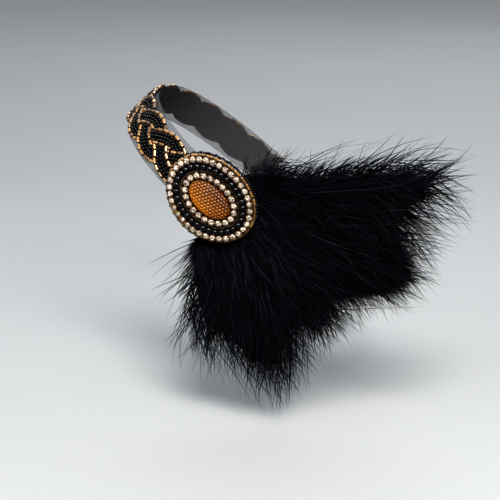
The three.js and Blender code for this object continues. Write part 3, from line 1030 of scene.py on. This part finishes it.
def make_cabochon():
    points, corners, sizes = flat_grid(*CABOCHON_CELLS)
    xy = oval_from_square(points, CABOCHON_HALVES)
    share = np.hypot(xy[:, 0] / CABOCHON_HALVES[0], xy[:, 1] / CABOCHON_HALVES[1])
    row = np.round(xy[:, 1] / BUMP_ROW)
    shift = np.mod(row, 2) * BUMP_STEP / 2
    near_x = np.round((xy[:, 0] - shift) / BUMP_STEP) * BUMP_STEP + shift
    off = np.hypot(xy[:, 0] - near_x, xy[:, 1] - row * BUMP_ROW)
    dome = np.sqrt(np.clip(1 - (off / BUMP_RADIUS) ** 2, 0, 1))
    fade = np.clip((1.0 - share) / BUMP_FADE, 0, 1)
    z = ROW_FLOOR + CABOCHON_HEIGHT * np.interp(share, DOME_REACH, DOME_RISE) - BUMP_SINK
    aside = LOW_SIDE_SLANT * xy[:, 0] / CABOCHON_HALVES[0]
    low_side = np.clip(-xy[:, 1] / CABOCHON_HALVES[1] - aside, -1, 1)
    smooth = np.clip(SMOOTHING_START - SMOOTHING_RATE * low_side, LEAST_BUMP, 1)
    flat = np.column_stack([xy, z + BUMP_HEIGHT * dome * fade * smooth])
    # Painted light: lighter dome tops, darker hollows between them, and a glow growing towards the lower
    # side and its rim
    edge = np.clip(low_side - PAINTED_GLOW_EDGE_START, 0, 1)
    painted_light = CABOCHON_PAINTED_LIGHT["ground"] + CABOCHON_PAINTED_LIGHT["dome"] * dome + CABOCHON_PAINTED_LIGHT["low_side"] * low_side + CABOCHON_PAINTED_LIGHT["edge"] * edge
    tones = np.clip(painted_light + np.random.default_rng(41).normal(0, GLOW_SPREAD, len(flat)), 0, 1)
    placed = (on_medallion(flat), corners, sizes)
    made = piece("amber_cabochon", placed, amber, "amber", "cabochon", smooth=180, tones=tones)
    close_below(made, CABOCHON_HEIGHT * DOME_RISE[-1] - BUMP_SINK)


make_cabochon()

# Cloth, cut flat and laid on the band
BACKING_CELLS = (40, 34)
BACKING_TONES = (0.2, 0.6)
RIBBON_CELLS = (184, 16)
RIBBON_RIPPLE = 0.22
RIBBON_RIPPLE_LENGTH = 8.5
RIBBON_EDGE_POWER = 4
RIPPLE_DRIFT = 2
RIPPLE_DRIFT_LENGTH = 17
ELASTIC_CELLS = (150, 40)
ELASTIC_THICKNESS = 0.8
ELASTIC_RIB = 1.3
ELASTIC_RIB_HEIGHT = 0.16


def thicken(made, thickness):
    wall = made.modifiers.new("thickness", "SOLIDIFY")
    wall.thickness = thickness * MM
    wall.offset = 0


def make_backing():
    points, corners, sizes = flat_grid(*BACKING_CELLS)
    xy = oval_from_square(points, BACKING_HALVES) + (0, OUTER_ROWS_RISE)
    flat = np.column_stack([xy, np.full(len(points), BACKING_MIDDLE)])
    tones = np.random.default_rng(51).uniform(*BACKING_TONES, len(flat))
    placed = (on_medallion(flat), corners, sizes)
    made = piece("felt_backing", placed, felt, "felt", "medallion_backing", smooth=180, tones=tones)
    thicken(made, BACKING_THICKNESS)


def strip_points(start, end, width, cells):
    points, corners, sizes = flat_grid(*cells)
    x = (start + end) / 2 + points[:, 0] * (end - start) / 2
    return np.column_stack([x, points[:, 1] * width / 2]), corners, sizes


def make_ribbon():
    xy, corners, sizes = strip_points(*RIBBON_ENDS, RIBBON_WIDTH, RIBBON_CELLS)
    edge = (np.abs(xy[:, 1]) / (RIBBON_WIDTH / 2)) ** RIBBON_EDGE_POWER
    drift = np.sin(xy[:, 0] / RIPPLE_DRIFT_LENGTH) * RIPPLE_DRIFT
    ripple = np.sin(2 * np.pi * xy[:, 0] / RIBBON_RIPPLE_LENGTH + drift)
    z = RIBBON_MIDDLE + RIBBON_RIPPLE * edge * ripple
    placed = (on_band(np.column_stack([xy, z])), corners, sizes)
    made = piece("net_ribbon_cloth", placed, net, "net", "net_ribbon", smooth=180, flat_uv=xy * MM)


def make_elastic():
    start = RIBBON_ENDS[1] - ELASTIC_LAP
    end = LOOP_LENGTH + RIBBON_ENDS[0] + ELASTIC_LAP
    xy, corners, sizes = strip_points(start, end, ELASTIC_WIDTH, ELASTIC_CELLS)
    z = ELASTIC_MIDDLE + ELASTIC_RIB_HEIGHT * np.cos(2 * np.pi * xy[:, 1] / ELASTIC_RIB)
    placed = (on_band(np.column_stack([xy, z])), corners, sizes)
    made = piece(
        "ribbed_elastic", placed, elastic_knit, "elastic", "elastic_back", smooth=180, flat_uv=xy * MM
    )
    thicken(made, ELASTIC_THICKNESS)


make_backing()
make_ribbon()
make_elastic()

# Stitches that hold the elastic's ends under the ribbon
STITCH_COUNT = 9
STITCH = (0.17, 1.1, 0.051)
STITCH_SIDES = 6
STITCH_INSET = 3
STITCH_REACH = 0.44
STITCH_HEIGHTS = (RIBBON_MIDDLE + 0.12, ELASTIC_MIDDLE - 0.5)
STITCH_SLANT = 0.6
STITCH_SPREAD = {"place": 0.1, "turn": 0.1}


def make_stitches():
    rng = np.random.default_rng(61)
    shape = seed_bead(*STITCH, STITCH_SIDES)
    across = np.linspace(-STITCH_REACH, STITCH_REACH, STITCH_COUNT) * ELASTIC_WIDTH
    lines = (
        RIBBON_ENDS[1] - STITCH_INSET, RIBBON_ENDS[1] - ELASTIC_LAP + STITCH_INSET,
        RIBBON_ENDS[0] + STITCH_INSET, RIBBON_ENDS[0] + ELASTIC_LAP - STITCH_INSET,
    )
    places = [(along, place, height) for along in lines for height in STITCH_HEIGHTS for place in across]
    count = len(places)
    centres = np.array(places) + rng.normal(0, STITCH_SPREAD["place"], (count, 3)) * (1, 1, 0)
    slants = np.tile([STITCH_SLANT, -STITCH_SLANT], count)[:count]
    arrays = copies(shape, centres, slants + rng.normal(0, STITCH_SPREAD["turn"], count))
    tones = bead_tones(shape, rng.uniform(0, 1, count))
    piece("lap_stitches", laid(on_band, arrays), thread, "elastic", smooth=60, tones=tones)


make_stitches()

# Feathers. The flat fan has its centre under the medallion, angles go up from the band's own line
FAN_RIM = 33
FAN_BEND_END = 31
ROOT_OUT = 2.65
ROOT_HALF_DEPTH = 0.9
BULGE_SHARE = 0.8
LEAN_END = 0.22
SHAFT_START = 24
SHAFT_END_SHARE = 0.84
# Five locks to a feather
LOCK_SPREADS = np.array([-1, -0.5, 0, 0.5, 1])
LOCK_REACHES = np.array([0.86, 0.95, 1, 0.96, 0.88])
LOCK_RISES = np.array([0.5, -0.7, 0.8, -0.5, 0.6])
LOCK_SPREAD_SHARE = 0.6
LOCK_DEPTH_SHARE = 0.085
LOCK_RISE_SHARE = 0.06
# How deep a lock is on its way from the medallion's rim, at 0, to its tip, at 1, and a little past it
SWELL_END = 1.15
SWELL_PLACES = (0, LEAN_END, 0.62, 1, SWELL_END)
SWELL_SHARES = (0, 0.8, 1, 0.35, 0.2)
# Each feather's lowest and highest angle, reach, and how far out its tip stands
FEATHERS = {
    "upper": (35, 59, 154, 14),
    "back": (3, 34, 140, 16),
    "middle": (-14.5, 2.5, 111, 18),
    "lower": (-39.5, -15, 132, 16),
    "front": (-70, -40, 102, 12),
    "tuft": (59.5, 84, 59, 8),
}
# How many barbs of each kind a feather has
BARB_COUNTS = {
    "upper": (8000, 900, 1000, 200),
    "back": (8500, 1300, 760, 70),
    "middle": (6000, 900, 420, 40),
    "lower": (8500, 850, 480, 90),
    "front": (8500, 800, 420, 170),
    "tuft": (2600, 160, 110, 90),
}
# Edge of the fan: angle, then how far from its centre the thick down, the fringe and the strays go
FAN_EDGE = np.array([
    (-110, 26, 28, 34), (-95, 27, 33, 60), (-86, 28, 40, 70), (-78, 30, 48, 74), (-72, 34, 56, 86),
    (-68, 35, 64, 98), (-64, 39, 75, 105), (-60, 46, 86, 106), (-56, 57, 93, 106), (-50, 68, 100, 111),
    (-45, 75, 100, 109), (-40, 78, 108, 122), (-36, 87, 122, 135), (-32, 95, 130, 137), (-27, 99, 130, 138),
    (-21, 90, 122, 132), (-15, 83, 113, 124), (-9, 97, 114, 120), (-3, 93, 116, 120), (2, 91, 118, 122),
    (6, 93, 119, 128), (10, 105, 129, 138), (16, 123, 141, 145), (21, 128, 143, 147), (27, 119, 141, 148),
    (33, 109, 148, 154), (37, 111, 157, 161), (42, 126, 155, 162), (48, 126, 155, 164),
    (49.5, 126, 155, 164), (50.7, 86, 153, 164), (52, 56, 148, 164), (54, 52, 138, 163), (57, 46, 108, 158),
    (60, 41, 74, 145), (64, 34, 54, 105), (70, 29, 47, 66), (78, 27, 41, 60), (88, 26, 33, 48),
    (100, 25, 29, 34), (110, 25, 28, 31),
])
# The ends of each kind of barb: 0 is at the end of the thick down, 1 at the fringe's and 2 at the strays'
BARB_KINDS = (
    {"ends": (0, 0), "skew": (1, 1), "ragged": 3.2, "width": 0.46, "gather": 0.5, "length": 1.0,
     "curl": 0.16, "droop": 0.3, "flat": False, "scatter": 1.0},
    {"ends": (0, 0.7), "skew": (1.0, 2.4), "ragged": 1.5, "width": 0.44, "gather": 0.3, "length": 1.3,
     "curl": 0.2, "droop": 0.5, "flat": True, "scatter": 0.8},
    {"ends": (0.25, 1.1), "skew": (1.2, 1.0), "ragged": 1.0, "width": 0.62, "gather": 0.25, "length": 1.6,
     "curl": 0.24, "droop": 0.6, "flat": True, "scatter": 0.7},
    {"ends": (0.7, 2.0), "skew": (1.2, 1.0), "ragged": 0.0, "width": 0.42, "gather": 0.0, "length": 1.9,
     "curl": 0.34, "droop": 0.5, "flat": True, "scatter": 1.0},
)
# Barbs open from their shaft by this angle at its root, less towards its tip, and get shorter on the way
OPEN_DEG = 47
OPEN_DEG_LOST = 16
BARB_LENGTH = 10
BARB_REACH_SHARE = 0.30
BARB_REACH_LOST = 0.06
# Direction of a hanging strand in the fan
HANG_DEG = -52
LEAST_DROOP = 0.05
# How the clumps of a lock differ, and how a clump's barbs differ from it
CLUMP_COUNT = 30
CLUMP_ALONG = (1.25, 1.0)
CLUMP_SPREAD = {"around": 0.4, "opening": 7, "length": 0.14}
BARB_SPREAD = {"along": 0.1, "around": 0.6, "opening": 9, "length": 0.18, "curl": 0.7}
GATHER_SPREAD = 0.2
MOST_GATHER = 0.9
GATHER_POWER = 1.6
EDGE_TRIALS = 25
SHORTEST_SHARE = 0.2
# Barbs lie flat under the medallion, rise freely outside it, and stay clear of the ribbon
FREE_START = 30
FREE_LENGTH = 14
LEAST_FREE = 0.02
LIFT_SHARE = 0.5
LOCK_UNDER_SHARE = 0.95
LOCK_OVER_SHARE = 1.1
RIBBON_CLEARANCE = 1.5
CLEARANCE_SPREAD = 0.4
BESIDE_RIBBON_DROP = 2.0
BESIDE_RIBBON_WIDTH = 4
BARB_SHARES = np.array([0, 0.15, 0.32, 0.5, 0.68, 0.85, 1.0])
BARB_TAPER = np.array([0.75, 1.0, 1.0, 0.86, 0.64, 0.4])
BARB_WIDTH_SPREAD = 0.2
BARB_TONES = (1.2, 3.5)
FIRST_FEATHER_SEED = 70


def in_fan(flat):
    """Lays the flat fan on the band: it bends with the loop up to the rim and runs straight from there."""
    bent = np.clip(flat[..., 0], -FAN_BEND_END, FAN_BEND_END)
    point, tangent, across, out = band_place(MEDALLION_ALONG + bent)
    straight = (flat[..., 0] - bent)[..., None]
    return tilted(point + tangent * straight + across * flat[..., 1:2] + out * flat[..., 2:3])


def lock_heights(xy, reach, rise):
    """How far out the middle of a lock lies at flat points of the fan, and how deep it is there."""
    radius = np.hypot(xy[..., 0], xy[..., 1])
    to_tip = np.clip((radius - FAN_RIM) / (reach - FAN_RIM), 0, SWELL_END)
    swell = np.interp(to_tip, SWELL_PLACES, SWELL_SHARES) * LOCK_DEPTH_SHARE * reach
    lifted = lean(xy[..., 1]) * np.clip(1 - to_tip / LEAN_END, 0, 1)
    return ROOT_OUT + lifted + swell * BULGE_SHARE + rise * to_tip**2, swell


def fan_edge(xy, ends):
    """Distance from the fan's centre at which a barb that goes so far towards the edge comes to its end."""
    angle = np.degrees(np.arctan2(xy[..., 1], xy[..., 0]))
    down, fringe, stray = (np.interp(angle, FAN_EDGE[:, 0], FAN_EDGE[:, column]) for column in (1, 2, 3))
    return down + (fringe - down) * np.minimum(ends, 1) + (stray - fringe) * np.clip(ends - 1, 0, 1)


def barb_start(axis, reach, along, around, opening, length_share, curl, droop):
    """Where barbs leave their shaft, their headings, bends and lengths, and their rise out of the fan."""
    radius = SHAFT_START + (reach * SHAFT_END_SHARE - SHAFT_START) * along
    ahead = np.stack([np.cos(axis), np.sin(axis)], -1)
    beside = np.stack([-np.sin(axis), np.cos(axis)], -1)
    open_angle = np.radians(OPEN_DEG - OPEN_DEG_LOST * along + opening)
    heading = ahead * np.cos(open_angle)[:, None] + beside * (np.cos(around) * np.sin(open_angle))[:, None]
    turned = np.stack([-heading[:, 1], heading[:, 0]], -1)
    hang = np.array([math.cos(math.radians(HANG_DEG)), math.sin(math.radians(HANG_DEG))])
    droop = droop * np.clip(0.5 + 0.5 * heading @ hang, LEAST_DROOP, 1)
    length = (BARB_LENGTH + reach * (BARB_REACH_SHARE - BARB_REACH_LOST * along)) * length_share
    rise = np.sin(around) * np.sin(open_angle) * length
    return ahead * radius[:, None], heading, turned * curl[:, None] + hang * droop[:, None], length, rise


def barb_line(barb, t):
    """Flat points of barbs at shares of their length, and their rise there."""
    start, heading, bend, length, rise = barb
    t = t[..., None]
    xy = start[:, None] + length[:, None, None] * (heading[:, None] * t + bend[:, None] * t**2)
    return xy, rise[:, None] * t[..., 0]


def barb_heights(xy, lift, reach, rise, rng):
    """How far out each point of a barb lies: within the depth of its lock and clear of the ribbon."""
    middle_out, swell = lock_heights(xy, reach[:, None], rise[:, None])
    radius = np.hypot(xy[..., 0], xy[..., 1])
    free = np.clip((radius - FREE_START) / FREE_LENGTH, LEAST_FREE, 1)
    lowest = -LOCK_UNDER_SHARE * swell - ROOT_HALF_DEPTH
    z = middle_out + np.clip(lift * LIFT_SHARE * free, lowest, LOCK_OVER_SHARE * swell + ROOT_HALF_DEPTH)
    beside = np.clip((np.abs(xy[..., 1]) - RIBBON_WIDTH / 2) / BESIDE_RIBBON_WIDTH, 0, 1)
    own_clearance = CLEARANCE_SPREAD * rng.uniform(0, 1, len(xy))[:, None]
    return np.maximum(z, RIBBON_CLEARANCE - BESIDE_RIBBON_DROP * beside + own_clearance)


def barb_paths(feather, kind, count, rng):
    """Flat points of barbs of one kind, root to tip."""
    low, high, longest, tip_out = FEATHERS[feather]
    middle = math.radians((low + high) / 2)
    half = math.radians((high - low) / 2)
    lock = rng.integers(0, len(LOCK_SPREADS), count)
    axis = middle + LOCK_SPREADS[lock] * half * LOCK_SPREAD_SHARE
    reach = longest * LOCK_REACHES[lock]
    rise = tip_out + longest * LOCK_RISES[lock] * LOCK_RISE_SHARE
    # Each clump of a lock has its own place on the shaft, side and length
    shape = (len(LOCK_SPREADS), CLUMP_COUNT)
    picked = (lock, rng.integers(0, CLUMP_COUNT, count))
    along = rng.beta(*CLUMP_ALONG, shape)[picked]
    side = np.pi * rng.integers(0, 2, shape)
    flat_around = side + rng.normal(0, CLUMP_SPREAD["around"], shape)
    around = np.where(kind["flat"], flat_around, rng.uniform(0, 2 * np.pi, shape))[picked]
    scatter = kind["scatter"]
    opening = rng.normal(0, CLUMP_SPREAD["opening"] * scatter, shape)[picked]
    length = (rng.lognormal(0, CLUMP_SPREAD["length"], shape) * kind["length"])[picked]
    curl = rng.normal(0, kind["curl"], shape)[picked]
    lead = barb_start(axis, reach, along, around, opening, length, curl, kind["droop"])
    jitter = rng.normal(0, 1, (len(BARB_SPREAD), count))
    own_along = np.clip(along + jitter[0] * BARB_SPREAD["along"], 0, 1)
    own_around = around + jitter[1] * BARB_SPREAD["around"]
    own_opening = opening + jitter[2] * BARB_SPREAD["opening"] * scatter
    own_length = length * np.exp(jitter[3] * BARB_SPREAD["length"])
    own_curl = curl + jitter[4] * kind["curl"] * BARB_SPREAD["curl"]
    own = barb_start(axis, reach, own_along, own_around, own_opening, own_length, own_curl, kind["droop"])
    gather = np.clip(rng.normal(kind["gather"], GATHER_SPREAD, count), 0, MOST_GATHER)

    def gathered(t):
        xy, lift = barb_line(own, t)
        lead_xy, lead_lift = barb_line(lead, t)
        pull = gather[:, None] * t**GATHER_POWER
        return xy + (lead_xy - xy) * pull[..., None], lift + (lead_lift - lift) * pull

    # A barb ends where it comes to its part of the fan's edge
    ends = kind["ends"][0] + (kind["ends"][1] - kind["ends"][0]) * rng.beta(*kind["skew"], count)
    ragged = rng.normal(0, kind["ragged"], count)
    trials = np.broadcast_to(np.linspace(0, 1, EDGE_TRIALS), (count, EDGE_TRIALS))
    xy, _ = gathered(trials)
    outside = np.hypot(xy[..., 0], xy[..., 1]) > fan_edge(xy, ends[:, None]) + ragged[:, None]
    last = np.where(outside.any(1), np.argmax(outside, axis=1) / (EDGE_TRIALS - 1), 1.0)
    xy, lift = gathered(BARB_SHARES[None] * last[:, None])
    z = barb_heights(xy, lift, reach, rise, rng)
    return np.concatenate([xy, z[..., None]], -1)[last > SHORTEST_SHARE]


def barb_ribbons(paths, width, rng):
    """Tapered ribbons along barb paths, each turned its own way, ending in a point, with their tones."""
    count, steps = paths.shape[:2]
    line = in_fan(paths)
    way = np.gradient(line, axis=1)
    face = unit(rng.normal(0, 1, (count, 1, 3)))
    side = unit(np.cross(way, face))
    half = width * MM / 2 * rng.lognormal(0, BARB_WIDTH_SPREAD, count)[:, None] * BARB_TAPER[None]
    left = line[:, :-1] - side[:, :-1] * half[..., None]
    right = line[:, :-1] + side[:, :-1] * half[..., None]
    points = np.concatenate([np.stack([left, right], 2).reshape(count, -1, 3), line[:, -1:]], 1)
    per_barb = points.shape[1]
    quads = np.array([[2 * i, 2 * i + 1, 2 * i + 3, 2 * i + 2] for i in range(steps - 2)]).ravel()
    tip = np.array([per_barb - 3, per_barb - 2, per_barb - 1])
    corners = np.concatenate([quads, tip])[None] + np.arange(count)[:, None] * per_barb
    sizes = np.tile([4] * (steps - 2) + [3], count)
    tones = np.repeat(rng.beta(*BARB_TONES, count), per_barb)
    return (points.reshape(-1, 3), corners.ravel(), sizes), tones


def make_feathers():
    for number, feather in enumerate(FEATHERS):
        rng = np.random.default_rng(FIRST_FEATHER_SEED + number)
        parts, tones = [], []
        for kind, count in zip(BARB_KINDS, BARB_COUNTS[feather]):
            barbs, kind_tones = barb_ribbons(barb_paths(feather, kind, count, rng), kind["width"], rng)
            parts.append(barbs)
            tones.append(kind_tones)
        name = "feather_" + feather
        tones = np.concatenate(tones)
        piece(name + "_down", joined(*parts), marabou, "marabou", name, smooth=180, tones=tones)


make_feathers()
